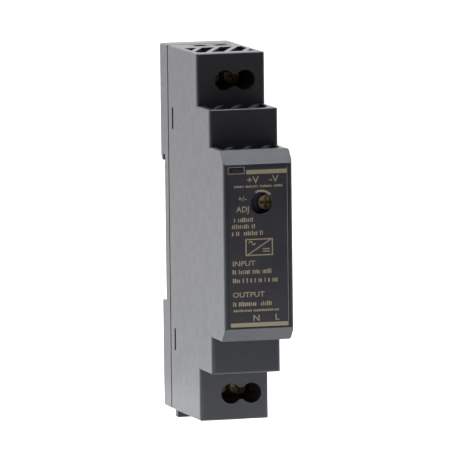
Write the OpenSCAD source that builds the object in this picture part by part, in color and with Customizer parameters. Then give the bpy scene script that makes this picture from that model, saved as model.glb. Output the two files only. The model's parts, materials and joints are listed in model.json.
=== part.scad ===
// One-module power supply for a 35 mm top-hat rail.
// Frame: +Z up, +X to the right seen from the front, the front faces -Y.
// Origin: on the plane that rests on the rail flanges, mid-height, mid-width.

/* [Case] */
// Width of the case across the rail, one module
case_w = 17.5; // [17.5:0.5:18]
// Height of the case without the latch foot
case_h = 90.6; // [90:0.2:91]
// Thickness of the side walls
wall = 1.3; // [1:0.1:1.3]
// Distance from the rail plane to the back of the case
back_y = 3.2; // [3:0.1:3.6]
// Distance from the rail plane to the front face that carries the label
front_y = 52.8; // [52.6:0.1:53]
// Distance from the rail plane to the middle step's face
middle_y = 40.8; // [40.6:0.1:41]
// Distance from the rail plane to the outer step's face
outer_y = 29.8; // [29.6:0.1:30]

/* [Air grilles] */
// Sideways pitch of the slats
slat_pitch = 4.6; // [4.4:0.1:4.8]
// Width of one slat
slat_w = 1.4; // [1.2:0.1:1.6]
// Sideways lean of a slat for each millimetre of depth
slat_lean = 0.47; // [0.4:0.01:0.55]

/* [Terminals] */
// Distance between the two screws of a terminal block
screw_pitch = 5.2; // [5.1:0.1:5.3]
// Radius of the screw access holes
access_r = 2.5; // [2.3:0.1:2.5]
// Radius of the wire entries
wire_r = 1.6; // [1.4:0.1:1.6]

/* [Rail clip] */
// Width of the latch strip
latch_w = 14; // [13:0.2:14]
// How far the foot shows below the case
foot_drop = 2.4; // [2:0.1:3]

/* [Hidden] */
$fn = 96;

half_w = case_w / 2;
half_h = case_h / 2;
in_x = half_w - wall;
seam_y = -4.1;
seam_gap = 0.15;
groove_w = 0.7;
groove_d = 0.6;
front_wall = 1.4;
outer_z = 32.5;
middle_z = 23.4;
chamfer_y = 3.2;
chamfer_z = 3.3;
edge_r = 0.9;
soft_r = 0.5;
eps = 0.05;

// Rail recess and clip
recess_top = 17.8;
recess_low = -18.7;
lip_gap = 1.3;
fixed_lip_z = 16.3;
seat_top = 16.1;
seat_low = -16.0;
seat_relief = 0.2;
latch_front = -2.95;
latch_back = -0.35;
latch_top = -19;
latch_lip_z = -16.2;
stop_top = -40;
stop_low = -42;
spring_top = -28;
spring_r = 1.0;
spring_wire = 0.35;
spring_turns = 8;

// Terminals: x of each screw, height of each row
out_x = -1.55;
in_terminal_x = -0.85;
out_z = 38.5;
in_z = -38.8;
cage_half = 2.05;
cage_open_y = [-11.6, -6.0];
cage_y = [-13.2, -5.2];
wire_y = -8.1;
wire_window_x = [-2.1, 2.1];
wire_window_y = [-11.4, -5.2];
head_r = 2.0;
shank_r = 1.45;
thread_r = 1.5;
block_y = [-18.4, -5.4];

// Trimmer, and the hole in front of it, which sits further left
trim_x = 2.55;
trim_hole_x = 0.77;
trim_z = 10.47;
trim_face = -49.6;

// Circuit board and the space beside it
board_x = [-6.1, -4.5];
mount_x = board_x[1];
lead_end = -6.35;
hole_r = 0.45;

// Places of the main components as [y, z]
transformer_at = [-27, 8];
choke_at = [-12, -15];
bulk_lower_at = [-33.6, -20.8];
bulk_front_at = [-44.6, -20.6];
bulk_x = 0.8;
bulk_r = 5;
bulk_lower_len = 18;
bulk_front_len = 16;
out_cap_at = [-0.2, 26.4];
out_cap_r = 4;
out_cap_len = 11;
inductor_at = [-9.8, 26.2];
fuse_at = [-1.8, -26.6];
fuse_y = [-37.5, -28.9];
varistor_at = [0.9, -22.5];
safety_at = [0.6, -11.5];

// ---- helpers -------------------------------------------------------------

// A box given by its two limits along each axis, in either order
module slab(x, y, z) {
    translate([min(x[0], x[1]), min(y[0], y[1]), min(z[0], z[1])])
        cube([abs(x[1] - x[0]), abs(y[1] - y[0]), abs(z[1] - z[0])]);
}

// The two limits of a span, moved to stand around c
function span(c, limits) = [c + limits[0], c + limits[1]];

// A solid whose outline is given in Y and Z, running along X
module along_x(points, x) {
    translate([x[0], 0, 0])
        rotate([90, 0, 90])
            linear_extrude(height = x[1] - x[0])
                polygon(points);
}

// A round bar along Y
module rod_y(r, x, y, z) {
    translate([x, y[1], z])
        rotate([90, 0, 0])
            cylinder(r = r, h = y[1] - y[0]);
}

// A round bar along Z
module rod_z(r, x, y, z) {
    translate([x, y, min(z[0], z[1])])
        cylinder(r = r, h = abs(z[1] - z[0]));
}

// A round bar along X
module rod_x(r, x, y, z) {
    translate([x[0], y, z])
        rotate([0, 90, 0])
            cylinder(r = r, h = x[1] - x[0]);
}

// What a rounded edge takes off the corner towards +X and +Y, along +Z from the arc's centre
module corner_waste(r, length) {
    difference() {
        cube([r + 1, r + 1, length]);
        translate([0, 0, -1])
            cylinder(r = r, h = length + 2);
    }
}

// The four long edges of the case along Y, between two depths, at the heights z
module side_edge_waste(y, z) {
    for (k = [0, 1])
        for (side = [-1, 1])
            translate([side * (half_w - soft_r), y[1], z[k] + (k == 0 ? soft_r : -soft_r)])
                rotate([90, 0, 0])
                    rotate([0, 0, k == 1 ? (side > 0 ? 0 : 90) : (side > 0 ? 270 : 180)])
                        corner_waste(soft_r, y[1] - y[0]);
}

// A block with its front upright edges and its upper and lower edges rounded
module rounded_block(front, z) {
    difference() {
        slab([-half_w, half_w], [front, seam_y], z);
        for (side = [-1, 1])
            translate([side * (half_w - edge_r), front + edge_r, z[0] - 1])
                rotate([0, 0, side > 0 ? 270 : 180])
                    corner_waste(edge_r, z[1] - z[0] + 2);
        for (k = [0, 1])
            translate([-half_w - 1, front + soft_r, z[k] + (k == 0 ? soft_r : -soft_r)])
                rotate([90, 0, 90])
                    rotate([0, 0, k == 0 ? 180 : 90])
                        corner_waste(soft_r, case_w + 2);
        side_edge_waste([front - 1, seam_y + 1], z);
    }
}

// Two round holes joined by a necked waist, cut along Y
neck_half = 1.45;
fillet_r = (pow(screw_pitch / 2, 2) + pow(neck_half, 2) - pow(access_r, 2))
    / (2 * (access_r - neck_half));
module figure_eight(x0, y, z, grow = 0) {
    mid = x0 + screw_pitch / 2;
    reach = fillet_r + neck_half;
    joint_x = screw_pitch / 2 * fillet_r / (access_r + fillet_r);
    joint_z = reach * access_r / (access_r + fillet_r);
    for (x = [x0, x0 + screw_pitch])
        rod_y(access_r + grow, x, y, z);
    difference() {
        slab([mid - joint_x - grow * 0.7, mid + joint_x + grow * 0.7], y,
            [z - joint_z - grow * 0.7, z + joint_z + grow * 0.7]);
        for (side = [-1, 1])
            rod_y(fillet_r - grow, mid, [y[0] - 1, y[1] + 1], z + side * reach);
    }
}

// The slanted openings of one grille, between two depths, in a wall at height z
module grille(y, z, mid_x) {
    mid_y = (y[0] + y[1]) / 2;
    difference() {
        slab([-7.3, 7.4], y, z);
        for (k = [-2:2])
            translate([mid_x + k * slat_pitch, mid_y, min(z[0], z[1]) - 1])
                linear_extrude(height = abs(z[1] - z[0]) + 2)
                    polygon([[-slat_w / 2 - 10 * slat_lean, -10],
                        [slat_w / 2 - 10 * slat_lean, -10],
                        [slat_w / 2 + 10 * slat_lean, 10],
                        [-slat_w / 2 + 10 * slat_lean, 10]]);
    }
}

// ---- case ----------------------------------------------------------------

module housing_outside() {
    rounded_block(-outer_y, [-half_h, half_h]);
    rounded_block(-middle_y, [-outer_z, outer_z]);
    difference() {
        rounded_block(-front_y, [-middle_z, middle_z]);
        for (s = [-1, 1])
            along_x([[-front_y + chamfer_y, s * middle_z],
                [-front_y - 1, s * (middle_z - chamfer_z - chamfer_z / chamfer_y)],
                [-front_y - 1, s * (middle_z + 1)],
                [-front_y + chamfer_y, s * (middle_z + 1)]], [-half_w - 1, half_w + 1]);
    }
}

module housing_inside() {
    slab([-in_x, in_x], [-outer_y + front_wall, 0], [-half_h + wall, half_h - wall]);
    slab([-in_x, in_x], [-middle_y + front_wall, 0], [-outer_z + wall, outer_z - wall]);
    along_x([[0, -22.1], [-48.9, -22.1], [-front_y + front_wall, -19.5],
        [-front_y + front_wall, 19.5], [-48.9, 22.1], [0, 22.1]], [-in_x, in_x]);
}

module front_housing() {
    color([0.16, 0.16, 0.18]) {
        difference() {
            housing_outside();
            housing_inside();
            // label recess, indicator window and trimmer hole
            slab([-7.7, 7.55], [-front_y - 1, -front_y + 0.3], [-19.9, 19.7]);
            slab([-6.86, -3.94], [-front_y - 1, -45], [18.1, 19.3]);
            rod_y(2.65, trim_hole_x, [-front_y - 1, -50], trim_z);
            // screw access
            figure_eight(out_x, [-outer_y - 1, -28], out_z);
            figure_eight(in_terminal_x, [-outer_y - 1, -28], in_z);
            for (s = [-1, 1]) {
                grille([-26.2, -13.9], s * [half_h - wall - 1, half_h + 1], -1.75);
                grille([-39.4, -29.8], s * [outer_z - wall - 1, outer_z + 1], -0.2);
                grille([-47.9, -40.8], s * [middle_z - wall - 1, middle_z + 1], -0.2);
                // slots for the base's snap hooks
                for (side = [-1, 1])
                    slab(side * [6, 10], [-8.3, -7.1], s * [24.8, 30.2]);
            }
            // wire windows
            for (k = [0, 1]) {
                slab(span(out_x + k * screw_pitch, wire_window_x), wire_window_y, [43, 46]);
                slab(span(in_terminal_x + k * screw_pitch, wire_window_x),
                    wire_window_y, [-46, -43]);
            }
        }
        // screwdriver guides behind the screw holes
        screw_guide(out_x, out_z);
        screw_guide(in_terminal_x, in_z);
        // ribs that hold the front edge of the circuit board and its sheet
        for (x = [[-in_x - eps, -6.75], [-4.3, -3.7]])
            slab(x, [-front_y + front_wall - eps, -47.6], [-15, 6]);
    }
}

module screw_guide(x0, z) {
    difference() {
        figure_eight(x0, [-outer_y + front_wall - eps, -18.7], z, 0.8);
        figure_eight(x0, [-outer_y, -18], z);
    }
}

// Spring tongue of the base with its hook, on side s of the height
module snap_hook(side, s) {
    slab(side * [6.75, 7.35], [-9, seam_y + 1], s * [25.1, 29.9]);
    translate([0, 0, s > 0 ? 25.1 : -29.9])
        linear_extrude(height = 4.8)
            polygon([[side * 7.3, -8.2], [side * 8.4, -7.3], [side * 8.4, -7.2],
                [side * 7.3, -7.2]]);
}

module rear_base() {
    color([0.16, 0.16, 0.18]) {
        difference() {
            union() {
                slab([-half_w, half_w], [seam_y + groove_w, back_y], [-half_h, half_h]);
                // step behind the shadow groove that runs round the seam
                slab([-half_w + groove_d, half_w - groove_d],
                    [seam_y + seam_gap, seam_y + groove_w + eps],
                    [-half_h + groove_d, half_h - groove_d]);
            }
            // rail recess behind the fixed lip and the open part of it
            slab([-10, 10], [0, lip_gap], [recess_low, recess_top]);
            slab([-10, 10], [0, back_y + 1], [recess_low, fixed_lip_z]);
            // floor sunk under the two lips, so that the seat stands clear of them
            slab([-10, 10], [-seat_relief, 1], [seat_top, recess_top]);
            slab([-10, 10], [-seat_relief, 1], [recess_low, seat_low]);
            // lead-in slope of the fixed lip
            along_x([[back_y + 0.1, fixed_lip_z - 0.1], [back_y + 0.1, fixed_lip_z + 1.2],
                [back_y - 1.2, fixed_lip_z - 0.1]], [-10, 10]);
            // hollow of the upper and middle part
            slab([-6.65, 6.65], [seam_y - 1, 1.8], [19.2, 43.9]);
            slab([-6.65, 6.65], [seam_y - 1, -1.4], [recess_low, 20]);
            // channel of the latch, its way out and the window of its hook
            slab([-latch_w / 2 - 0.2, latch_w / 2 + 0.2], [-3.2, -0.15],
                [-half_h - 1, recess_low - 1.0]);
            slab([-6.2, 6.2], [-3.2, back_y + 1], [-26.5, recess_low + 1]);
            side_edge_waste([seam_y - 1, back_y + 1], [-half_h, half_h]);
            // shallow pocket in the back of the latch cover
            slab([-5.6, 5.6], [1.2, back_y + 1], [-42.5, -29.5]);
        }
        // the stop that ends the latch's stroke and carries its spring
        slab([-1.3, 1.3], [-3.3, -0.6], [stop_low, stop_top]);
        // stiffening rib across the back pocket
        slab([-0.6, 0.6], [1.1, back_y], [-42.6, -29.4]);
        // rim that centres the base in the housing
        difference() {
            slab([-7.35, 7.35], [-5, seam_y + 0.5], [-43.9, 43.9]);
            slab([-6.65, 6.65], [-6, seam_y + 1], [-43.1, 43.1]);
        }
        for (side = [-1, 1])
            for (s = [-1, 1])
                snap_hook(side, s);
    }
}

module rail_latch() {
    foot_z = -half_h - foot_drop;
    color([0.14, 0.14, 0.16])
        difference() {
            union() {
                slab([-latch_w / 2, latch_w / 2], [latch_front, latch_back],
                    [foot_z, latch_top - 0.9]);
                // riser through the back window, and the lip behind the rail flange
                along_x([[latch_front, latch_top - 3.2], [back_y, latch_top - 3.2],
                    [back_y, latch_lip_z - 1.3], [back_y - 1.2, latch_lip_z],
                    [lip_gap, latch_lip_z], [lip_gap, latch_top], [latch_front, latch_top]],
                    [-6, 6]);
            }
            // spring pocket, with its lower edge under the stop
            slab([-1.6, 1.6], [-4, 0], [stop_low - 0.3, spring_top]);
            // slot for a screwdriver tip in the foot
            slab([-2.2, 2.2], [-2.2, -1.1], [foot_z - 1, foot_z + 1.5]);
        }
}

// Section of the coil across its axis, shaped so that the wire itself is round
spring_len = spring_top - stop_top;
spring_rise = spring_len / spring_turns / 360;
function spring_half(t) = sqrt(pow(spring_wire / 2, 2) - pow(spring_rise * t, 2));
spring_reach = spring_wire / 2 / spring_rise;
function spring_arc(side, turned) = [for (k = [-5:5])
    let (t = turned * k / 5 * spring_reach, r = spring_r + side * spring_half(t * 0.9999))
        [r * cos(t), r * sin(t)]];

module latch_spring() {
    // Coil between the stop and the top of the latch's pocket
    color([0.75, 0.76, 0.78])
        translate([0, (latch_front + latch_back) / 2, stop_top])
            linear_extrude(height = spring_len, twist = -360 * spring_turns,
                slices = 10 * spring_turns, $fn = 8)
                polygon(concat(spring_arc(1, 1), spring_arc(-1, -1)));
}

module front_label() {
    color([0.15, 0.15, 0.18])
        difference() {
            slab([-7.65, 7.5], [-front_y + 0.1, -front_y + 0.3], [-19.85, 19.65]);
            slab([-6.9, -3.9], [-front_y - 1, -50], [18.05, 19.35]);
            rod_y(2.7, trim_hole_x, [-front_y - 1, -50], trim_z);
        }
}

module led_window() {
    color([0.25, 0.04, 0.04])
        union() {
            slab([-6.82, -3.98], [-front_y + 0.05, -front_y + front_wall + 0.1],
                [18.14, 19.26]);
            slab([-7.2, -3.6], [-front_y + front_wall + 0.02, -front_y + front_wall + 0.3],
                [17.8, 19.45]);
        }
}

module indicator_led() {
    color([0.3, 0.75, 0.35])
        union() {
            slab([-6.3, -4.3], [-50.9, -49.15], [18.0, 19.4]);
            slab([-6.35, -6.12], [-49.2, -47.4], [18.4, 19.0]);
            slab([-4.48, -4.25], [-49.2, -47.4], [18.4, 19.0]);
        }
}

// ---- board ---------------------------------------------------------------

function board_half(s, y0, edge) = [
    [y0, s * (43.2 - edge)], [-18.2 + edge, s * (43.2 - edge)],
    [-18.2 + edge, s * (30.8 - edge)], [-38.6 + edge, s * (30.8 - edge)],
    [-38.6 + edge, s * (21.6 - edge)], [-46.8 + edge, s * (21.6 - edge)],
    [-49.0 + edge, s * (19.6 - edge)]];
function flip(v) = [for (i = [len(v) - 1:-1:0]) v[i]];
function board_outline(edge) = concat(board_half(1, -5.3, edge), flip(board_half(-1, -5.3, edge)));

// Lead holes as [y, z]; the same list places the leads
transformer_pins = [for (s = [-1, 1]) for (k = [-1.5, -0.5, 0.5, 1.5])
    [transformer_at[0] + 2.54 * k, transformer_at[1] + s * 6.4]];
choke_pins = [for (a = [-1, 1]) for (b = [-1, 1]) [choke_at[0] + 3.2 * a, choke_at[1] + 3.2 * b]];
bulk_pins = [[bulk_lower_at[0], -2.3], [bulk_lower_at[0] + 3.5, -2.3],
    [bulk_front_at[0], -4.1], [bulk_front_at[0] + 3.5, -4.1]];
out_cap_pins = [[-26.7, 24.7], [-26.7, 28.2], [-14.6, 24.7], [-14.6, 28.2]];
fuse_pins = [[-38.0, -26.6], [-28.4, -26.6]];
varistor_pins = [for (k = [-2.2, 2.2]) [varistor_at[1] + k, -27.8]];
filter_pins = [[-14.8, -27.9], [-8.0, -27.9]];
safety_pins = [for (k = [-2.2, 2.2]) [safety_at[1] + k, 5.6]];
inductor_pins = [[-12.2, 26.2], [-7.4, 26.2]];
reference_pins = [[-41.6, 16.2], [-41.6, 17.5], [-41.6, 18.8]];
trimmer_pins = [[-47.2, trim_z], [-44.9, trim_z - 2.6], [-44.9, trim_z + 2.6]];
opto_pins = [for (a = [-14.9, -7.5]) for (b = [11.5, 14.1]) [a, b]];
all_pins = concat(transformer_pins, choke_pins, bulk_pins, out_cap_pins, fuse_pins,
    varistor_pins, filter_pins, safety_pins, inductor_pins, reference_pins,
    trimmer_pins, opto_pins);

module circuit_board() {
    color([0.08, 0.32, 0.16])
        difference() {
            along_x(board_outline(0), board_x);
            for (p = all_pins)
                rod_x(hole_r, [board_x[0] - 1, board_x[1] + 1], p[0], p[1]);
            for (s = [-1, 1])
                for (d = [33.9, 32.1])
                    rod_x(0.62, [board_x[0] - 1, board_x[1] + 1], -10.575,
                        s > 0 ? d + 0.4 : -d - 0.4);
        }
}

module insulation_sheet() {
    color([0.85, 0.85, 0.8, 0.8])
        along_x(board_outline(0.1), [-6.65, -6.42]);
}

// ---- terminals -----------------------------------------------------------

// Plastic body with two clamp cells; s is +1 for the top row, -1 for the bottom row
module terminal_block(x0, zc, s) {
    right = x0 + screw_pitch;
    difference() {
        union() {
            slab([x0 - 2.6, right + 2.6], block_y, s * [31.6, 43.7]);
            // collars that stand in the case's wire windows, flush with its face
            for (x = [x0, right])
                slab([x - 2, x + 2], wire_window_y + [0.1, -0.1], s * [43.6, half_h]);
        }
        for (x = [x0, right]) {
            rod_y(2.2, x, [block_y[0] - 1, -16.0], zc);
            rod_y(1.75, x, [-17, -15], zc);
            slab([x - 2.15, x + 2.15], [-15.5, -5.0], span(zc, s * [-2.7, 2.7]));
            rod_z(wire_r, x, wire_y, s * [40, half_h + 1]);
            // pocket for the end of the contact bar
            slab([x - 1.3, x + 1.3], [-11.05, -10.1], span(zc, s * [-4.0, 3.7]));
        }
        // slots for the contact tails on their way to the board
        slab([x0 - 3, x0 + 1.3], [-11.05, -10.1], s * [33.8, 35.5]);
        slab([x0 - 3, right + 1.3], [-11.05, -10.1], s * [31.5, 33.0]);
        slab([right - 1.3, right + 1.3], [-11.05, -10.1], s * [31.5, 35.5]);
    }
}

module output_terminal_block() {
    color([0.1, 0.1, 0.11])
        terminal_block(out_x, out_z, 1);
}

module input_terminal_block() {
    color([0.1, 0.1, 0.11])
        terminal_block(in_terminal_x, in_z, -1);
}

// Fixed bars inside the cages, with their tails into the board
module contacts(x0, zc, s) {
    bar_y = [-10.95, -10.2];
    end_z = zc + s * 3.5;
    right = x0 + screw_pitch;
    slab([x0 - 1.2, x0 + 1.2], bar_y, [s * 33.9, end_z]);
    slab([lead_end, x0], bar_y, s * [33.9, 34.7]);
    slab([right - 1.2, right + 1.2], bar_y, [s * 32.1, end_z]);
    slab([lead_end, right], bar_y, s * [32.1, 32.9]);
}

module output_contacts() {
    color([0.78, 0.76, 0.7])
        contacts(out_x, out_z, 1);
}

module input_contacts() {
    color([0.78, 0.76, 0.7])
        contacts(in_terminal_x, in_z, -1);
}

// Clamp screw, its tip on the contact bar
module clamp_screw(x, z) {
    difference() {
        union() {
            rod_y(head_r, x, [-17.9, -16.1], z);
            rod_y(shank_r, x, [-16.2, -11.0], z);
        }
        slab([x - 1.75, x + 1.75], [-19, -16.9], [z - 0.3, z + 0.3]);
        slab([x - 0.3, x + 0.3], [-19, -16.9], [z - 1.1, z + 1.1]);
    }
}

// Rising clamp cage, open for the wire, threaded wall in front
module clamp_cage(x, z) {
    difference() {
        slab([x - cage_half, x + cage_half], cage_y, [z - 2.6, z + 2.6]);
        slab([x - 1.45, x + 1.45], cage_open_y, [z - 4, z + 4]);
        rod_y(thread_r, x, [-14, -11], z);
    }
}

module screw_plus() {
    color([0.8, 0.74, 0.55]) clamp_screw(out_x, out_z);
}

module screw_minus() {
    color([0.8, 0.74, 0.55]) clamp_screw(out_x + screw_pitch, out_z);
}

module screw_neutral() {
    color([0.8, 0.74, 0.55]) clamp_screw(in_terminal_x, in_z);
}

module screw_line() {
    color([0.8, 0.74, 0.55]) clamp_screw(in_terminal_x + screw_pitch, in_z);
}

module cage_plus() {
    color([0.7, 0.7, 0.72]) clamp_cage(out_x, out_z);
}

module cage_minus() {
    color([0.7, 0.7, 0.72]) clamp_cage(out_x + screw_pitch, out_z);
}

module cage_neutral() {
    color([0.7, 0.7, 0.72]) clamp_cage(in_terminal_x, in_z);
}

module cage_line() {
    color([0.7, 0.7, 0.72]) clamp_cage(in_terminal_x + screw_pitch, in_z);
}

// ---- trimmer -------------------------------------------------------------

module trimmer_body() {
    color([0.12, 0.2, 0.45])
        difference() {
            union() {
                rod_y(3.25, trim_x, [trim_face, -44.2], trim_z);
                slab([-3.2, trim_x], [trim_face, -44.2], [trim_z - 3.25, trim_z + 3.25]);
                for (z = [trim_z - 2.6, trim_z + 2.6])
                    slab([mount_x + 0.05, -3.1], [-46, -44.4], [z - 0.5, z + 0.5]);
            }
            rod_y(1.85, trim_x, [trim_face - 1, trim_face + 1.2], trim_z);
            rod_y(0.9, trim_x, [trim_face, -44.6], trim_z);
        }
}

module trimmer_rotor() {
    color([0.82, 0.72, 0.5])
        difference() {
            union() {
                rod_y(1.75, trim_x, [trim_face - 0.6, trim_face + 1.1], trim_z);
                rod_y(0.83, trim_x, [trim_face + 1, -44.8], trim_z);
            }
            slab([trim_x - 1.5, trim_x + 1.5], [trim_face - 1, trim_face + 0.6],
                [trim_z - 0.38, trim_z + 0.38]);
            slab([trim_x - 0.38, trim_x + 0.38], [trim_face - 1, trim_face + 0.6],
                [trim_z - 1.5, trim_z + 1.5]);
        }
}

// ---- power components ----------------------------------------------------

core_t = 4.8;
core_x = 1.4;

module transformer_core() {
    y = transformer_at[0];
    z = transformer_at[1];
    color([0.2, 0.2, 0.2])
        difference() {
            slab([core_x - core_t / 2, core_x + core_t / 2], [y - 8, y + 8], [z - 7.2, z + 7.2]);
            for (s = [-1, 1])
                slab([core_x - 5, core_x + 5], span(y, s * [2.1, 6.0]), [z - 5.2, z + 5.2]);
        }
}

module transformer_bobbin() {
    y = transformer_at[0];
    z = transformer_at[1];
    color([0.1, 0.1, 0.1])
        difference() {
            union() {
                slab([-2.1, 4.9], [y - 3.0, y + 3.0], [z - 5.1, z + 5.1]);
                for (s = [-1, 1]) {
                    slab([-4.0, 6.9], [y - 5.8, y + 5.8], span(z, s * [4.4, 5.1]));
                    slab([mount_x + 0.1, -1.2], [y - 5.4, y + 5.4], span(z, s * [5.0, 7.2]));
                }
            }
            slab([core_x - core_t / 2 - 0.1, core_x + core_t / 2 + 0.1], [y - 2.2, y + 2.2],
                [z - 9, z + 9]);
            for (p = transformer_pins)
                rod_x(0.32, [-5, -2.5], p[0], p[1]);
        }
}

module transformer_winding() {
    y = transformer_at[0];
    z = transformer_at[1];
    color([0.86, 0.68, 0.15])
        difference() {
            intersection() {
                slab([-3.9, 6.6], [y - 5.6, y + 5.6], [z - 4.3, z + 4.3]);
                translate([1.4, y, z - 5])
                    cylinder(r = 6.8, h = 10);
            }
            slab([-2.15, 4.95], [y - 3.05, y + 3.05], [z - 9, z + 9]);
        }
}

// Electrolytic capacitor can with its rolled groove, lying along Z or Y
module capacitor_can(r, h) {
    rotate_extrude()
        polygon([[0, 0], [r - 0.5, 0], [r, 0.5], [r, 1.3], [r - 0.35, 1.7], [r, 2.1],
            [r, h - 0.4], [r - 0.4, h], [r - 0.9, h], [r - 1.0, h - 0.15], [0, h - 0.15]]);
}

module bulk_capacitor_lower() {
    color([0.13, 0.16, 0.3])
        translate([bulk_x, bulk_lower_at[0], bulk_lower_at[1] + bulk_lower_len])
            rotate([180, 0, 0])
                capacitor_can(bulk_r, bulk_lower_len);
}

module bulk_capacitor_front() {
    color([0.13, 0.16, 0.3])
        translate([bulk_x, bulk_front_at[0], bulk_front_at[1] + bulk_front_len])
            rotate([180, 0, 0])
                capacitor_can(bulk_r, bulk_front_len);
}

module output_capacitor_front() {
    color([0.1, 0.24, 0.2])
        translate([out_cap_at[0], -27.2, out_cap_at[1]])
            rotate([90, 0, 0])
                capacitor_can(out_cap_r, out_cap_len);
}

module output_capacitor_rear() {
    color([0.1, 0.24, 0.2])
        translate([out_cap_at[0], -15.1, out_cap_at[1]])
            rotate([90, 0, 0])
                capacitor_can(out_cap_r, out_cap_len);
}

module fuse_tube() {
    color([0.9, 0.9, 0.88])
        rod_y(1.55, fuse_at[0], [fuse_y[0] + 0.2, fuse_y[1] - 0.2], fuse_at[1]);
}

module fuse_caps() {
    color([0.8, 0.78, 0.7])
        for (y = [fuse_y, flip(fuse_y)]) {
            inner = y[0] + (y[0] < y[1] ? 1.9 : -1.9);
            difference() {
                rod_y(1.8, fuse_at[0], [min(y[0], inner), max(y[0], inner)], fuse_at[1]);
                rod_y(1.55, fuse_at[0], [fuse_y[0] + 0.2, fuse_y[1] - 0.2], fuse_at[1]);
            }
        }
}

module varistor() {
    color([0.15, 0.3, 0.6])
        translate([varistor_at[0], varistor_at[1], -29.4])
            rotate_extrude()
                polygon([[0, 0], [3.9, 0], [4.5, 0.6], [4.5, 2.6], [3.9, 3.2], [0, 3.2]]);
}

module filter_capacitor() {
    color([0.72, 0.68, 0.5])
        difference() {
            slab([mount_x + 0.1, 5.8], [-17, -5.9], [-30.6, -25.2]);
            slab([-5, 7], [-17.5, -16.8], [-28.1, -27.7]);
        }
}

module choke_core() {
    color([0.2, 0.35, 0.2])
        translate([-3.4, choke_at[0], choke_at[1]])
            rotate([0, 90, 0])
                rotate_extrude()
                    polygon([[2.7, 0], [5.2, 0], [5.2, 5], [2.7, 5]]);
}

module choke_windings() {
    // Two separate half windings, wrapped round the ring
    color([0.72, 0.4, 0.15])
        translate([-4.1, choke_at[0], choke_at[1]])
            rotate([0, 90, 0])
                difference() {
                    rotate_extrude()
                        polygon([[2.0, 0], [5.9, 0], [5.9, 6.4], [2.0, 6.4]]);
                    translate([0, 0, 0.65])
                        rotate_extrude()
                            polygon([[2.65, 0], [5.25, 0], [5.25, 5.1], [2.65, 5.1]]);
                    translate([-0.9, -7, -1])
                        cube([1.8, 14, 9]);
                }
}

// Moulded chip body with its flat feet, on the component side of the board
module chip(y, z, h, feet, along) {
    slab([mount_x + 0.12, mount_x + 0.12 + h], y, z);
    mid_y = (y[0] + y[1]) / 2;
    mid_z = (z[0] + z[1]) / 2;
    for (k = [0:feet - 1]) {
        t = (k - (feet - 1) / 2) * 1.27;
        if (along)
            slab([mount_x + 0.02, mount_x + 0.2], [y[0] - 1.0, y[1] + 1.0],
                [mid_z + t - 0.22, mid_z + t + 0.22]);
        else
            slab([mount_x + 0.02, mount_x + 0.2], [mid_y + t - 0.22, mid_y + t + 0.22],
                [z[0] - 1.0, z[1] + 1.0]);
    }
}

module bridge_rectifier() {
    color([0.12, 0.12, 0.12])
        chip([-26.8, -20.4], [-20.6, -15.8], 2.4, 2, true);
}

module switching_controller() {
    color([0.12, 0.12, 0.12])
        chip([-14.4, -10.5], [-5.4, -0.5], 1.5, 4, true);
}

module output_rectifier() {
    color([0.12, 0.12, 0.12])
        chip([-24.6, -18.7], [17.2, 21.2], 2.2, 1, true);
}

module safety_capacitor() {
    color([0.2, 0.4, 0.7])
        translate([safety_at[0], safety_at[1], 4.0])
            rotate_extrude()
                polygon([[0, 0], [3.2, 0], [3.7, 0.5], [3.7, 2.7], [3.2, 3.2], [0, 3.2]]);
}

module optocoupler() {
    color([0.92, 0.92, 0.9])
        slab([mount_x + 0.3, mount_x + 3.8], [-14.3, -8.1], [10.5, 15.1]);
}

module inductor_core() {
    color([0.22, 0.22, 0.24])
        translate([mount_x + 0.4, inductor_at[0], inductor_at[1]])
            rotate([0, 90, 0])
                rotate_extrude()
                    polygon([[0, 0], [3.9, 0], [3.9, 1], [1.6, 1], [1.6, 6.4], [3.9, 6.4],
                        [3.9, 7.4], [0, 7.4]]);
}

module inductor_winding() {
    color([0.75, 0.4, 0.15])
        translate([mount_x + 1.45, inductor_at[0], inductor_at[1]])
            rotate([0, 90, 0])
                rotate_extrude()
                    polygon([[1.65, 0], [3.5, 0], [3.5, 5.3], [1.65, 5.3]]);
}

module voltage_reference() {
    color([0.1, 0.1, 0.1])
        intersection() {
            rod_x(2.3, [-2.4, 2.1], -41.6, 17.5);
            slab([-3, 3], [-45, -40.4], [14, 20]);
        }
}

// Small chips on both faces of the board: [y, z, length in z]
chips_front = [[-20.5, -8, 2], [-18, -2, 2], [-16.5, 2.5, 1.6], [-40.5, 3.5, 2],
    [-40.5, 7.5, 2], [-38.2, 5.5, 1.6], [-16.2, 19.8, 2], [-38.5, 18.6, 2], [-6.8, 1.6, 2],
    [-6.8, 20, 2], [-12.5, 20.2, 1.6], [-22.4, -8, 2], [-46.6, 0.6, 2]];
module chip_parts() {
    color([0.35, 0.3, 0.25])
        for (c = chips_front)
            slab([mount_x + 0.02, mount_x + 0.55], [c[0] - 0.6, c[0] + 0.6],
                [c[1] - c[2] / 2, c[1] + c[2] / 2]);
}

// Tinned wire of one lead from the board to a component
module lead(p, x_top) {
    rod_x(0.28, [lead_end, x_top], p[0], p[1]);
}

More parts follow.
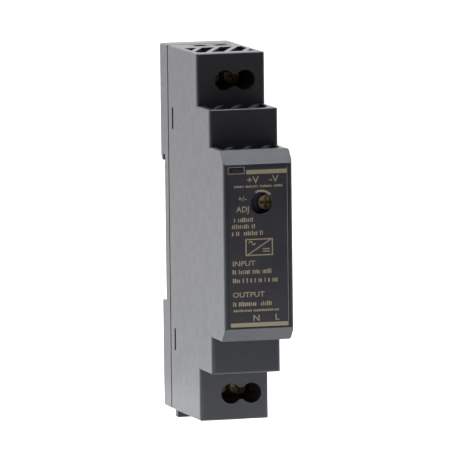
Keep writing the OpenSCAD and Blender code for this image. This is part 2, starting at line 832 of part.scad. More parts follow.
module component_leads() {
    color([0.8, 0.8, 0.78]) {
        for (p = transformer_pins)
            lead(p, -2.6);
        for (p = choke_pins)
            lead(p, -4.15);
        for (p = bulk_pins) {
            lead(p, bulk_x);
            rod_z(0.28, bulk_x, p[0], [p[1] - 0.5, p[1] + 0.28]);
        }
        for (p = out_cap_pins) {
            lead(p, out_cap_at[0]);
            rod_y(0.28, out_cap_at[0], [p[0] - 0.45, p[0] + 0.28], p[1]);
        }
        for (p = fuse_pins)
            lead(p, fuse_at[0]);
        rod_y(0.28, fuse_at[0], [fuse_pins[0][0] - 0.28, fuse_y[0]], fuse_at[1]);
        rod_y(0.28, fuse_at[0], [fuse_y[1], fuse_pins[1][0] + 0.28], fuse_at[1]);
        for (p = varistor_pins)
            lead(p, -3.17);
        for (p = filter_pins)
            lead(p, mount_x + 0.1);
        for (p = safety_pins)
            lead(p, -2.56);
        for (p = inductor_pins)
            lead(p, mount_x + 0.4);
        for (p = reference_pins)
            lead(p, -2.45);
        for (p = trimmer_pins)
            lead(p, p[1] == trim_z ? -3.2 : mount_x + 0.05);
        for (p = opto_pins)
            lead(p, -2.6);
    }
}

front_housing();
rear_base();
rail_latch();
latch_spring();
front_label();
led_window();
indicator_led();
circuit_board();
insulation_sheet();
output_terminal_block();
input_terminal_block();
output_contacts();
input_contacts();
screw_plus();
screw_minus();
screw_neutral();
screw_line();
cage_plus();
cage_minus();
cage_neutral();
cage_line();
trimmer_body();
trimmer_rotor();
transformer_core();
transformer_bobbin();
transformer_winding();
bulk_capacitor_lower();
bulk_capacitor_front();
output_capacitor_front();
output_capacitor_rear();
fuse_tube();
fuse_caps();
varistor();
filter_capacitor();
choke_core();
choke_windings();
bridge_rectifier();
switching_controller();
safety_capacitor();
optocoupler();
output_rectifier();
inductor_core();
inductor_winding();
voltage_reference();
chip_parts();
component_leads();
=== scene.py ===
import json
import math

import bmesh
import bpy
from mathutils import Matrix, Vector


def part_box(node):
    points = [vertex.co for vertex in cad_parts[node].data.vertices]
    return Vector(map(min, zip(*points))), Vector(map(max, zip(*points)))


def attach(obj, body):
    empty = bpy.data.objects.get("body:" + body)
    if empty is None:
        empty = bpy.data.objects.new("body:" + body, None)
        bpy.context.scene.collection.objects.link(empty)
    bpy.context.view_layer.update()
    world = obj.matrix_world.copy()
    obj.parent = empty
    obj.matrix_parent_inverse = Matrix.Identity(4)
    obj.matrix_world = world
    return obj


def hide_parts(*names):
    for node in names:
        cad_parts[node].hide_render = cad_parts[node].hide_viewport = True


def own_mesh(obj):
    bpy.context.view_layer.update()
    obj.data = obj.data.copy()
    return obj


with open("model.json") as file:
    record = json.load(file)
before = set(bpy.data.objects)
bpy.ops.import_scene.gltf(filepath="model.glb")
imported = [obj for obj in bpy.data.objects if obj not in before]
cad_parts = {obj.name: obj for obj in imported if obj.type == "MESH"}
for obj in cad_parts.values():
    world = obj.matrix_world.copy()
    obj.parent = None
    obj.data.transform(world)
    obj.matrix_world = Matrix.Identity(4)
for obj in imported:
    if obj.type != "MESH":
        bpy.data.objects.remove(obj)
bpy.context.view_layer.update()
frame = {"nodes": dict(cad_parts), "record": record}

MM = 0.001
CASE = "case"

# Sizes in millimetres that the looks share with the part
LABEL_Y = -52.7
FOOT_Z = -47.7
SCREW_HEAD_Y = -16.12
SPRING_Y = -1.65
SPRING_STOP_Z = -40.0
SCREWS = {
    "screw_plus": (-1.55, 38.5),
    "screw_minus": (3.65, 38.5),
    "screw_neutral": (-0.85, -38.8),
    "screw_line": (4.35, -38.8),
}
TRIMMER_HOLE = (0.77, 10.47)

# Radii that the moulds leave on edges, in millimetres
CASE_EDGE = 0.22
LATCH_EDGE = 0.25
LABEL_EDGE = 0.04
LENS_EDGE = 0.08
PART_EDGE = 0.12
CAN_EDGE = 0.1

# Edges sharper than these angles, in degrees, are rounded or keep their crease
ROUNDED_ANGLE = 32
CREASE_ANGLE = 38


# ---- finishes ---------------------------------------------------------------


class Finish:
    """A material under construction: one Principled shader with a few nodes before it."""

    def __init__(self, name, roughness, metallic=0.0, specular=0.5):
        self.material = bpy.data.materials.new(name)
        self.material.use_nodes = True
        self.tree = self.material.node_tree
        self.shader = self.tree.nodes["Principled BSDF"]
        self.shader.inputs["Roughness"].default_value = roughness
        self.shader.inputs["Metallic"].default_value = metallic
        self.shader.inputs["Specular IOR Level"].default_value = specular
        self.place = self.tree.nodes.new("ShaderNodeTexCoord").outputs["Object"]

    def node(self, kind, **settings):
        made = self.tree.nodes.new("ShaderNode" + kind)
        for key, value in settings.items():
            setattr(made, key, value)
        return made

    def link(self, source, target):
        self.tree.links.new(source, target)

    def noise(self, scale, detail=3.0, rough=0.5):
        made = self.node("TexNoise")
        made.inputs["Scale"].default_value = scale
        made.inputs["Detail"].default_value = detail
        made.inputs["Roughness"].default_value = rough
        self.link(self.place, made.inputs["Vector"])
        return made.outputs["Fac"]

    def ramp(self, value, low, high, low_colour, high_colour):
        made = self.node("ValToRGB")
        first, last = made.color_ramp.elements
        first.position, last.position = low, high
        first.color = (*low_colour, 1)
        last.color = (*high_colour, 1)
        self.link(value, made.inputs["Fac"])
        return made.outputs["Color"]

    def span(self, value, low, high):
        """A value from 0 to 1 spread between two others."""
        return self.between(value, 0.0, 1.0, low, high)

    def between(self, value, start, end, low, high):
        """A value taken from one range to another."""
        made = self.node("MapRange")
        for key, limit in (("From Min", start), ("From Max", end), ("To Min", low), ("To Max", high)):
            made.inputs[key].default_value = limit
        self.link(value, made.inputs["Value"])
        return made.outputs["Result"]

    def math(self, operation, a, b=None):
        made = self.node("Math", operation=operation)
        for socket, value in zip(made.inputs, (a, b)):
            if value is None:
                continue
            if isinstance(value, (int, float)):
                socket.default_value = value
            else:
                self.link(value, socket)
        return made.outputs["Value"]

    def axis(self, name):
        split = self.node("SeparateXYZ")
        self.link(self.place, split.inputs["Vector"])
        return split.outputs[name]

    def mix(self, share, a, b):
        made = self.node("Mix", data_type="RGBA")
        self.link(share, made.inputs["Factor"])
        first_colour, second_colour, mixed_colour = made.inputs[6], made.inputs[7], made.outputs[2]
        for socket, value in ((first_colour, a), (second_colour, b)):
            if isinstance(value, tuple):
                socket.default_value = (*value, 1)
            else:
                self.link(value, socket)
        return mixed_colour

    def colour(self, source):
        self.link(source, self.shader.inputs["Base Color"])

    def roughness(self, source):
        self.link(source, self.shader.inputs["Roughness"])

    def bump(self, height, strength, distance):
        made = self.node("Bump")
        made.inputs["Strength"].default_value = strength
        made.inputs["Distance"].default_value = distance
        self.link(height, made.inputs["Height"])
        self.link(made.outputs["Normal"], self.shader.inputs["Normal"])


def tone(colour, factor):
    """A lighter or darker tone of the same colour."""
    return tuple(min(1.0, c * factor) for c in colour)


def moulded_plastic(name, colour, roughness, grain=2600, relief=0.25, drift=0.14):
    """Spark-textured moulding: fine grain in relief, slow drift in colour, uneven sheen."""
    f = Finish(name, roughness)
    f.colour(f.ramp(f.noise(130, 4), 0.3, 0.72, tone(colour, 1 - drift), tone(colour, 1 + drift)))
    f.roughness(f.span(f.noise(420, 5, 0.6), roughness - 0.07, roughness + 0.07))
    f.bump(f.noise(grain, 2, 0.55), relief, 0.00006)
    return f.material


def smooth_resin(name, colour, roughness, drift=0.1):
    """Glossier moulded or dipped resin with a faint waviness."""
    f = Finish(name, roughness)
    f.colour(f.ramp(f.noise(300, 3), 0.3, 0.7, tone(colour, 1 - drift), tone(colour, 1 + drift)))
    f.roughness(f.span(f.noise(900, 3), roughness - 0.06, roughness + 0.08))
    f.bump(f.noise(700, 2), 0.12, 0.0001)
    return f.material


def plated_metal(name, colour, roughness, grain=(1, 1, 1), scale=900):
    """Plated or drawn metal: fine directional scratches and patches of duller plating."""
    f = Finish(name, roughness, metallic=1.0)
    stretch = f.node("Mapping")
    stretch.inputs["Scale"].default_value = grain
    f.link(f.place, stretch.inputs["Vector"])
    scratches = f.node("TexNoise")
    scratches.inputs["Scale"].default_value = scale
    scratches.inputs["Detail"].default_value = 4
    f.link(stretch.outputs["Vector"], scratches.inputs["Vector"])
    f.colour(f.ramp(f.noise(500, 3), 0.3, 0.7, tone(colour, 0.8), tone(colour, 1.1)))
    f.roughness(f.span(scratches.outputs["Fac"], roughness - 0.08, roughness + 0.14))
    f.bump(scratches.outputs["Fac"], 0.15, 0.00005)
    return f.material


def sintered_core(name, colour):
    """Ferrite: dull grey-black with ground, slightly speckled faces."""
    f = Finish(name, 0.55)
    f.colour(f.ramp(f.noise(2600, 4, 0.7), 0.35, 0.7, tone(colour, 0.6), tone(colour, 1.5)))
    f.roughness(f.span(f.noise(800, 3), 0.45, 0.68))
    f.bump(f.noise(3200, 3), 0.3, 0.00006)
    return f.material


def board_laminate():
    """Green lacquered laminate with darker copper runs showing through."""
    f = Finish("board_laminate", 0.35)
    cells = f.node("TexVoronoi", distance="MANHATTAN", feature="F1")
    cells.inputs["Scale"].default_value = 260
    f.link(f.place, cells.inputs["Vector"])
    bands = f.math("FRACT", f.math("MULTIPLY", cells.outputs["Distance"], 3.0))
    runs = f.math("GREATER_THAN", bands, 0.55)
    weave = f.ramp(f.noise(3000, 2), 0.3, 0.7, (0.008, 0.09, 0.03), (0.014, 0.13, 0.045))
    f.colour(f.mix(runs, weave, (0.03, 0.22, 0.07)))
    f.roughness(f.span(runs, 0.42, 0.28))
    f.bump(runs, 0.25, 0.00005)
    return f.material


def capacitor_sleeve(name, sleeve, stripe, axis, end_from, centre, lead_side):
    """Shrink sleeve with its polarity stripe, and the bare aluminium end of the can."""
    f = Finish(name, 0.32)
    along = f.axis(axis)
    other = f.axis("Y" if axis == "Z" else "Z")
    height = f.axis("X")
    turn = f.math("ARCTAN2", f.math("SUBTRACT", other, centre), f.math("SUBTRACT", height, lead_side))
    stripe_turn, stripe_edge = 0.7, 0.82
    band = f.math("GREATER_THAN", f.math("COSINE", f.math("SUBTRACT", turn, stripe_turn)), stripe_edge)
    dash_rate, dash_share = 2100, -0.3
    dashes = f.math("GREATER_THAN", f.math("SINE", f.math("MULTIPLY", along, dash_rate)), dash_share)
    striped = f.mix(f.math("MULTIPLY", band, dashes), sleeve, stripe)
    bare = f.math("LESS_THAN", along, end_from)
    brushed = f.ramp(f.noise(1500, 3), 0.3, 0.7, (0.5, 0.5, 0.52), (0.72, 0.72, 0.74))
    f.colour(f.mix(bare, striped, brushed))
    f.link(bare, f.shader.inputs["Metallic"])
    f.roughness(f.span(f.noise(700, 3), 0.26, 0.42))
    f.bump(f.noise(500, 2), 0.1, 0.0001)
    return f.material


def polyester_tape(name, colour):
    """Winding tape: glossy yellow with the soft steps of its wraps."""
    f = Finish(name, 0.28)
    wraps_in_a_metre, edge_share = 230, 0.93
    wraps = f.math("FRACT", f.math("MULTIPLY", f.axis("Z"), wraps_in_a_metre))
    edge = f.math("GREATER_THAN", wraps, edge_share)
    base = f.ramp(f.noise(350, 3), 0.3, 0.7, tone(colour, 0.8), tone(colour, 1.15))
    f.colour(f.mix(edge, base, tone(colour, 0.55)))
    f.roughness(f.span(f.noise(900, 3), 0.2, 0.38))
    f.bump(f.noise(260, 2), 0.3, 0.0002)
    return f.material


def clear_lens(name, colour):
    """Deep red indicator lens: tinted, under a glossy clear coat."""
    f = Finish(name, 0.12)
    f.colour(f.ramp(f.noise(900, 2), 0.3, 0.7, tone(colour, 0.7), tone(colour, 1.3)))
    f.roughness(f.span(f.noise(600, 2), 0.08, 0.2))
    f.shader.inputs["Coat Weight"].default_value = 0.6
    f.shader.inputs["Coat Roughness"].default_value = 0.05
    return f.material


def printed_ink(name, colour):
    """Screen-printed ink: slightly uneven cover on the film."""
    f = Finish(name, 0.6)
    f.colour(f.ramp(f.noise(5200, 3, 0.7), 0.28, 0.62, tone(colour, 0.62), tone(colour, 1.12)))
    f.roughness(f.span(f.noise(2000, 2), 0.5, 0.7))
    return f.material


FINISHES = {
    "case_plastic": moulded_plastic("case_plastic", (0.019, 0.019, 0.024), 0.4),
    "latch_plastic": moulded_plastic("latch_plastic", (0.013, 0.013, 0.015), 0.46),
    "label_film": moulded_plastic("label_film", (0.022, 0.021, 0.028), 0.4, grain=5200, relief=0.08),
    "terminal_plastic": moulded_plastic("terminal_plastic", (0.012, 0.012, 0.013), 0.5),
    "black_resin": moulded_plastic("black_resin", (0.016, 0.016, 0.017), 0.45, grain=4200),
    "white_resin": moulded_plastic("white_resin", (0.68, 0.68, 0.64), 0.5, grain=4200),
    "rotor_plastic": moulded_plastic("rotor_plastic", (0.42, 0.30, 0.15), 0.48, grain=4200),
    "chip_ceramic": smooth_resin("chip_ceramic", (0.2, 0.13, 0.08), 0.4, 0.4),
    "trimmer_blue": smooth_resin("trimmer_blue", (0.012, 0.02, 0.05), 0.4),
    "blue_epoxy": smooth_resin("blue_epoxy", (0.02, 0.11, 0.42), 0.25),
    "film_box": smooth_resin("film_box", (0.55, 0.47, 0.24), 0.4),
    "fuse_ceramic": smooth_resin("fuse_ceramic", (0.75, 0.74, 0.69), 0.35),
    "indicator_glass": smooth_resin("indicator_glass", (0.2, 0.5, 0.25), 0.15),
    "insulating_film": smooth_resin("insulating_film", (0.62, 0.6, 0.5), 0.25),
    "red_lens": clear_lens("red_lens", (0.012, 0.003, 0.003)),
    "spring_steel": plated_metal("spring_steel", (0.62, 0.62, 0.64), 0.28),
    "tinned_brass": plated_metal("tinned_brass", (0.72, 0.68, 0.58), 0.3, (1, 6, 1)),
    "plated_screw": plated_metal("plated_screw", (0.34, 0.25, 0.13), 0.38, (5, 1, 1)),
    "plated_steel": plated_metal("plated_steel", (0.66, 0.66, 0.67), 0.3, (1, 1, 6)),
    "tinned_wire": plated_metal("tinned_wire", (0.75, 0.75, 0.73), 0.25),
    "copper_wire": plated_metal("copper_wire", (0.62, 0.22, 0.07), 0.24),
    "ferrite": sintered_core("ferrite", (0.03, 0.03, 0.033)),
    "ferrite_green": sintered_core("ferrite_green", (0.04, 0.14, 0.06)),
    "board_laminate": board_laminate(),
    "yellow_tape": polyester_tape("yellow_tape", (0.72, 0.46, 0.03)),
}
PRINT_INK = printed_ink("print_ink", (0.31, 0.258, 0.172))
# pale ink for the lens frame print, and for the painted highlight on the label's right edge
PALE_INK_AND_HIGHLIGHT = printed_ink("pale_ink_and_highlight", (0.26, 0.25, 0.22))


# ---- pieces -----------------------------------------------------------------


def add_piece(name, mesh, material, body, slot, *nodes):
    """Puts a finished mesh in the scene, on its body, in place of its CAD nodes."""
    piece = bpy.data.objects.new(name, mesh)
    bpy.context.scene.collection.objects.link(piece)
    if material is not None:
        mesh.materials.clear()
        mesh.materials.append(material)
    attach(piece, body)
    if nodes:
        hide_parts(*nodes)
    return piece


def baked(builder, name):
    """Evaluates an object's modifiers and returns the plain mesh."""
    bpy.context.scene.collection.objects.link(builder)
    bpy.context.view_layer.update()
    graph = bpy.context.evaluated_depsgraph_get()
    mesh = bpy.data.meshes.new_from_object(builder.evaluated_get(graph), depsgraph=graph)
    mesh.name = name
    bpy.data.objects.remove(builder)
    return mesh


def soften_shading(mesh):
    """Smooth faces with creases kept where they meet at more than the crease angle."""
    work = bmesh.new()
    work.from_mesh(mesh)
    limit = math.radians(CREASE_ANGLE)
    for face in work.faces:
        face.smooth = True
    for edge in work.edges:
        edge.smooth = len(edge.link_faces) == 2 and edge.calc_face_angle(0) < limit
    work.to_mesh(mesh)
    work.free()


def merged_mesh(node):
    """A CAD node's surface as one welded mesh with its flat faces whole."""
    mesh = frame["nodes"][node].data.copy()
    work = bmesh.new()
    work.from_mesh(mesh)
    bmesh.ops.remove_doubles(work, verts=work.verts, dist=2e-6)
    bmesh.ops.dissolve_limit(
        work, angle_limit=math.radians(0.6), verts=work.verts, edges=work.edges,
        delimit={"NORMAL"},
    )
    work.to_mesh(mesh)
    work.free()
    return mesh


def moulded_copy(node, edge_mm, segments):
    """A CAD node's shape with its sharp edges rounded as the mould leaves them."""
    builder = bpy.data.objects.new(node + "_build", merged_mesh(node))
    bevel = builder.modifiers.new("edges", "BEVEL")
    bevel.width = edge_mm * MM
    bevel.segments = segments
    bevel.limit_method = "ANGLE"
    bevel.angle_limit = math.radians(ROUNDED_ANGLE)
    bevel.miter_outer = "MITER_ARC"
    bevel.use_clamp_overlap = True
    mesh = baked(builder, node + "_edges")
    soften_shading(mesh)
    # large flat faces stay flat beside their rounded edges
    facing = bpy.data.objects.new(node + "_facing", mesh)
    weighted = facing.modifiers.new("facing", "WEIGHTED_NORMAL")
    weighted.mode = "FACE_AREA"
    weighted.weight = 100
    weighted.keep_sharp = True
    return baked(facing, node + "_shape")


def body_of_node(node):
    """The body that carries a CAD node."""
    for body, nodes in frame["record"]["behaviour"]["bodies"].items():
        if node in nodes:
            return body
    return CASE


SLOT_OF = {s["node"]: s["material_slot"] for s in frame["record"]["subparts"]}


def shaped(node, edge_mm, segments=2, material=None):
    """Replaces one CAD node by its own shape with rounded edges and its finish."""
    slot = SLOT_OF[node]
    add_piece(
        node + "_shell", moulded_copy(node, edge_mm, segments),
        material or FINISHES[slot], body_of_node(node), slot, node,
    )


# Case mouldings
shaped("front_housing", CASE_EDGE, 3)
shaped("rear_base", CASE_EDGE, 3)
shaped("rail_latch", LATCH_EDGE, 3)
shaped("front_label", LABEL_EDGE, 1)
shaped("led_window", LENS_EDGE)

# Mouldings and chips inside
for plain_node in (
    "output_terminal_block", "input_terminal_block", "transformer_core", "transformer_bobbin",
    "varistor", "filter_capacitor", "bridge_rectifier", "switching_controller",
    "safety_capacitor", "optocoupler", "output_rectifier", "voltage_reference", "fuse_tube",
    "fuse_caps", "trimmer_body", "trimmer_rotor", "indicator_led", "inductor_core",
    "choke_core", "cage_plus", "cage_minus", "cage_neutral", "cage_line",
    "transformer_winding",
):
    shaped(plain_node, PART_EDGE)

# Sleeves of the cans: sleeve and stripe colour, axis, end of the sleeve on it and the can's centre
BLUE_SLEEVE = ((0.008, 0.012, 0.05), (0.5, 0.5, 0.52))
GREEN_SLEEVE = ((0.006, 0.05, 0.04), (0.55, 0.5, 0.3))
CAN_FINISH = {
    "bulk_capacitor_lower": (*BLUE_SLEEVE, "Z", -20.4 * MM, -33.6 * MM, 0.8 * MM),
    "bulk_capacitor_front": (*BLUE_SLEEVE, "Z", -20.2 * MM, -44.6 * MM, 0.8 * MM),
    "output_capacitor_front": (*GREEN_SLEEVE, "Y", -37.8 * MM, 26.4 * MM, -0.2 * MM),
    "output_capacitor_rear": (*GREEN_SLEEVE, "Y", -25.7 * MM, 26.4 * MM, -0.2 * MM),
}
for can, facts in CAN_FINISH.items():
    shaped(can, CAN_EDGE, material=capacitor_sleeve(can + "_finish", *facts))

# CAD nodes that keep their own mesh
for kept in ("circuit_board", "insulation_sheet", "component_leads", "chip_parts",
             "output_contacts", "input_contacts"):
    node_object = frame["nodes"][kept]
    node_object.data.materials.clear()
    node_object.data.materials.append(FINISHES[SLOT_OF[kept]])


# ---- geometry nodes ---------------------------------------------------------


class Tree:
    """A Geometry Nodes tree with named inputs, ending in Realize Instances and Set Material."""

    def __init__(self, name, sizes, material):
        self.group = bpy.data.node_groups.new(name, "GeometryNodeTree")
        self.group.interface.new_socket("Geometry", in_out="OUTPUT", socket_type="NodeSocketGeometry")
        self.keys = {}
        for label, value in sizes.items():
            kind = "NodeSocketInt" if isinstance(value, int) else "NodeSocketFloat"
            socket = self.group.interface.new_socket(label, in_out="INPUT", socket_type=kind)
            socket.default_value = value
            self.keys[label] = socket.identifier
        self.inputs = self.group.nodes.new("NodeGroupInput").outputs
        self.material = material

    def node(self, kind, **settings):
        made = self.group.nodes.new(kind)
        for key, value in settings.items():
            setattr(made, key, value)
        return made

    def put(self, value, socket):
        if hasattr(value, "is_output"):
            self.group.links.new(value, socket)
        elif isinstance(value, str):
            self.group.links.new(self.inputs[value], socket)
        else:
            socket.default_value = value

    def math(self, operation, a, b=0.0):
        made = self.node("ShaderNodeMath", operation=operation)
        self.put(a, made.inputs[0])
        self.put(b, made.inputs[1])
        return made.outputs[0]

    def vector(self, x=0.0, y=0.0, z=0.0):
        made = self.node("ShaderNodeCombineXYZ")
        for socket, value in zip(made.inputs, (x, y, z)):
            self.put(value, socket)
        return made.outputs[0]

    def make(self, kind, settings=None, **values):
        made = self.node(kind, **(settings or {}))
        for label, value in values.items():
            self.put(value, made.inputs[label.replace("_", " ")])
        return made

    def join(self, *parts):
        made = self.node("GeometryNodeJoinGeometry")
        for part in parts:
            self.group.links.new(part, made.inputs[0])
        return made.outputs[0]

    def finish(self, geometry):
        solid = self.node("GeometryNodeRealizeInstances")
        self.group.links.new(geometry, solid.inputs[0])
        painted = self.node("GeometryNodeSetMaterial")
        painted.inputs["Material"].default_value = self.material
        self.group.links.new(solid.outputs[0], painted.inputs["Geometry"])
        self.group.links.new(painted.outputs[0], self.node("NodeGroupOutput").inputs[0])

    def mesh(self, name, place=Matrix.Identity(4), **sizes):
        """The tree's result for these sizes, moved to its place."""
        builder = bpy.data.objects.new(name + "_build", bpy.data.meshes.new(name))
        modifier = builder.modifiers.new(name, "NODES")
        modifier.node_group = self.group
        for label, value in sizes.items():
            modifier[self.keys[label.replace("_", " ")]] = value
        mesh = baked(builder, name)
        mesh.transform(place)
        work = bmesh.new()
        work.from_mesh(mesh)
        bmesh.ops.remove_doubles(work, verts=work.verts, dist=1e-7)
        bmesh.ops.recalc_face_normals(work, faces=work.faces)
        work.to_mesh(mesh)
        work.free()
        soften_shading(mesh)
        return mesh


def coil_tree(name, material, rings):
    """Round wire wound in a helix along Z."""
    tree = Tree(name, {"Radius": 1.0 * MM, "Wire": 0.17 * MM, "Turns": 8.0, "Length": 12 * MM}, material)
    spiral = tree.make(
        "GeometryNodeCurveSpiral", Resolution=rings, Rotations="Turns",
        Start_Radius="Radius", End_Radius="Radius", Height="Length",
    )
    section = tree.make("GeometryNodeCurvePrimitiveCircle", Resolution=10, Radius="Wire")
    wire = tree.make("GeometryNodeCurveToMesh", Curve=spiral.outputs[0],
                     Profile_Curve=section.outputs[0], Fill_Caps=True)
    tree.finish(wire.outputs[0])
    return tree


# Latch spring between its stop and the latch: 12 mm long at rest, 8 mm with the latch down
latch_spring = coil_tree("spring_coil", FINISHES["spring_steel"], 28)
spring_mesh = latch_spring.mesh(
    "latch_spring_coil", Matrix.Translation(Vector((0, SPRING_Y, SPRING_STOP_Z + 0.2)) * MM),
    Radius=1.0 * MM, Wire=0.17 * MM, Turns=8.0, Length=11.6 * MM,
)
spring = add_piece("latch_spring_coil", spring_mesh, None, CASE, "spring_steel", "latch_spring")
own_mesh(spring)

# Output inductor wound on its drum, seen as its outer layer
inductor_coil = coil_tree("inductor_coil", FINISHES["copper_wire"], 40)
coil_low, coil_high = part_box("inductor_winding")
inductor_place = Matrix.Translation(
    (coil_low.x + 0.25 * MM, (coil_low.y + coil_high.y) / 2, (coil_low.z + coil_high.z) / 2)
) @ Matrix.Rotation(math.pi / 2, 4, "Y")
inductor_mesh = inductor_coil.mesh(
    "inductor_wire", inductor_place, Radius=3.2 * MM, Wire=0.24 * MM, Turns=10.0, Length=4.8 * MM)
add_piece("inductor_wire", inductor_mesh, None, CASE, "copper_wire", "inductor_winding")


def ring_winding_tree():
    """Separate turns of wire standing round part of a ring core, whose axis is Z."""
    tree = Tree("ring_winding", {
        "Turns": 13, "Core Radius": 3.95 * MM, "Tall": 5.9 * MM, "Wide": 3.3 * MM,
        "Wire": 0.3 * MM, "Sweep": 2.2, "Start": 0.5,
    }, FINISHES["copper_wire"])
    points = tree.make("GeometryNodeMeshLine", Count="Turns", Offset=(0.0, 0.0, 0.0))
    step = tree.math("DIVIDE", tree.node("GeometryNodeInputIndex").outputs[0],
                     tree.math("SUBTRACT", "Turns", 1.0))
    turn = tree.math("ADD", "Start", tree.math("MULTIPLY", step, "Sweep"))
    place = tree.vector(tree.math("MULTIPLY", "Core Radius", tree.math("COSINE", turn)),
                        tree.math("MULTIPLY", "Core Radius", tree.math("SINE", turn)), 0.0)
    spread = tree.make("GeometryNodeSetPosition", Geometry=points.outputs[0], Position=place)
    loop = tree.make("GeometryNodeCurvePrimitiveQuadrilateral", Width="Wide", Height="Tall")
    rounded = tree.make("GeometryNodeFilletCurve", {"mode": "POLY"}, Curve=loop.outputs[0],
                        Count=3, Radius=0.8 * MM)
    upright = tree.make("GeometryNodeTransform", Geometry=rounded.outputs[0],
                        Rotation=(math.pi / 2, 0.0, 0.0))
    section = tree.make("GeometryNodeCurvePrimitiveCircle", Resolution=8, Radius="Wire")
    wire = tree.make("GeometryNodeCurveToMesh", Curve=upright.outputs[0],
                     Profile_Curve=section.outputs[0])
    set_out = tree.make("GeometryNodeInstanceOnPoints", Points=spread.outputs[0],
                        Instance=wire.outputs[0], Rotation=tree.vector(0.0, 0.0, turn))
    tree.finish(set_out.outputs[0])
    return tree


ring_winding = ring_winding_tree()
ring_low, ring_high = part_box("choke_core")
ring_place = Matrix.Translation((ring_low + ring_high) / 2) @ Matrix.Rotation(math.pi / 2, 4, "Y")
halves = [ring_winding.mesh("choke_turns_%d" % k, ring_place, Start=0.45 + math.pi * k)
          for k in (0, 1)]
both = bmesh.new()
for half in halves:
    both.from_mesh(half)
turns_mesh = bpy.data.meshes.new("choke_turns")
both.to_mesh(turns_mesh)
both.free()
soften_shading(turns_mesh)
add_piece("choke_turns", turns_mesh, FINISHES["copper_wire"], CASE, "copper_wire", "choke_windings")


def screw_tree():
    """Clamp screw along -Z: domed head with a cross recess over a threaded shank."""
    tree = Tree("clamp_screw", {
        "Head Radius": 1.98 * MM, "Head Height": 1.75 * MM, "Shank Radius": 1.42 * MM,
        "Thread Depth": 0.2 * MM, "Pitch": 0.5 * MM, "Length": 5.1 * MM,
    }, FINISHES["plated_screw"])
    shank = tree.make("GeometryNodeMeshCylinder", {"fill_type": "NGON"}, Vertices=32,
                      Side_Segments=82, Radius="Shank Radius", Depth="Length")
    where = tree.node("ShaderNodeSeparateXYZ")
    tree.put(tree.node("GeometryNodeInputPosition").outputs[0], where.inputs[0])
    bearing = tree.math("ARCTAN2", where.outputs["Y"], where.outputs["X"])
    angle = tree.math("DIVIDE", bearing, 2 * math.pi)
    phase = tree.math("ADD", tree.math("DIVIDE", where.outputs["Z"], "Pitch"), angle)
    flank = tree.math("PINGPONG", phase, 0.5)
    pull = tree.math("MULTIPLY", tree.math("MULTIPLY", flank, 2.0), "Thread Depth")
    shrink = tree.math("SUBTRACT", 1.0, tree.math("DIVIDE", pull, "Shank Radius"))
    cut = tree.vector(tree.math("MULTIPLY", where.outputs["X"], shrink),
                      tree.math("MULTIPLY", where.outputs["Y"], shrink), where.outputs["Z"])
    thread = tree.make("GeometryNodeSetPosition", Geometry=shank.outputs["Mesh"], Position=cut)
    lowered = tree.make(
        "GeometryNodeTransform", Geometry=thread.outputs[0],
        Translation=tree.vector(0.0, 0.0, tree.math("MULTIPLY", "Length", -0.5)))
    head = tree.make("GeometryNodeMeshCylinder", {"fill_type": "NGON"}, Vertices=48,
                     Side_Segments=1, Radius="Head Radius", Depth="Head Height")
    raised = tree.make(
        "GeometryNodeTransform", Geometry=head.outputs["Mesh"],
        Translation=tree.vector(0.0, 0.0, tree.math("MULTIPLY", "Head Height", 0.5)))
    slots = []
    for slot_size in ((3.6 * MM, 0.6 * MM, 1.9 * MM), (0.6 * MM, 2.3 * MM, 1.9 * MM)):
        cutter = tree.make("GeometryNodeMeshCube", Size=slot_size)
        moved = tree.make("GeometryNodeTransform", Geometry=cutter.outputs["Mesh"],
                          Translation=tree.vector(0.0, 0.0, "Head Height"))
        slots.append(moved.outputs[0])
    recess = tree.node("GeometryNodeMeshBoolean", operation="DIFFERENCE")
    tree.group.links.new(raised.outputs[0], recess.inputs[0])
    for slot in slots:
        tree.group.links.new(slot, recess.inputs[1])
    tree.finish(tree.join(recess.outputs["Mesh"], lowered.outputs[0]))
    return tree


clamp_screw = screw_tree()
for screw_name, (screw_x, screw_z) in SCREWS.items():
    head_place = Matrix.Translation(Vector((screw_x, SCREW_HEAD_Y, screw_z)) * MM)
    facing_front = head_place @ Matrix.Rotation(math.pi / 2, 4, "X")
    screw_mesh = clamp_screw.mesh(screw_name + "_thread", facing_front)
    add_piece(screw_name + "_threaded", screw_mesh, None, screw_name, "plated_screw", screw_name)


# ---- print on the label, and a painted highlight on its edge ----------------


def flat_plate(outline, depth):
    """A closed plate in the XZ plane from its outline, facing the front."""
    work = bmesh.new()
    front = [work.verts.new((x * MM, -depth * MM, z * MM)) for x, z in outline]
    back = [work.verts.new((x * MM, 0, z * MM)) for x, z in outline]
    work.faces.new(front)
    work.faces.new(list(reversed(back)))
    count = len(outline)
    for k in range(count):
        work.faces.new((front[k], back[k], back[(k + 1) % count], front[(k + 1) % count]))
    bmesh.ops.recalc_face_normals(work, faces=work.faces)
    mesh = bpy.data.meshes.new("plate")
    work.to_mesh(mesh)
    work.free()
    return mesh


def bar(x0, x1, z0, z1):
    """Outline of an upright rectangle."""
    return [(x0, z0), (x1, z0), (x1, z1), (x0, z1)]


def arc(cx, cz, inner, outer, start, end, steps=18):
    """Outline of a curved stroke between two radii and two angles in degrees."""
    angles = [math.radians(start + (end - start) * k / steps) for k in range(steps + 1)]
    out = [(cx + outer * math.cos(a), cz + outer * math.sin(a)) for a in angles]
    back = [(cx + inner * math.cos(a), cz + inner * math.sin(a)) for a in reversed(angles)]
    return out + back


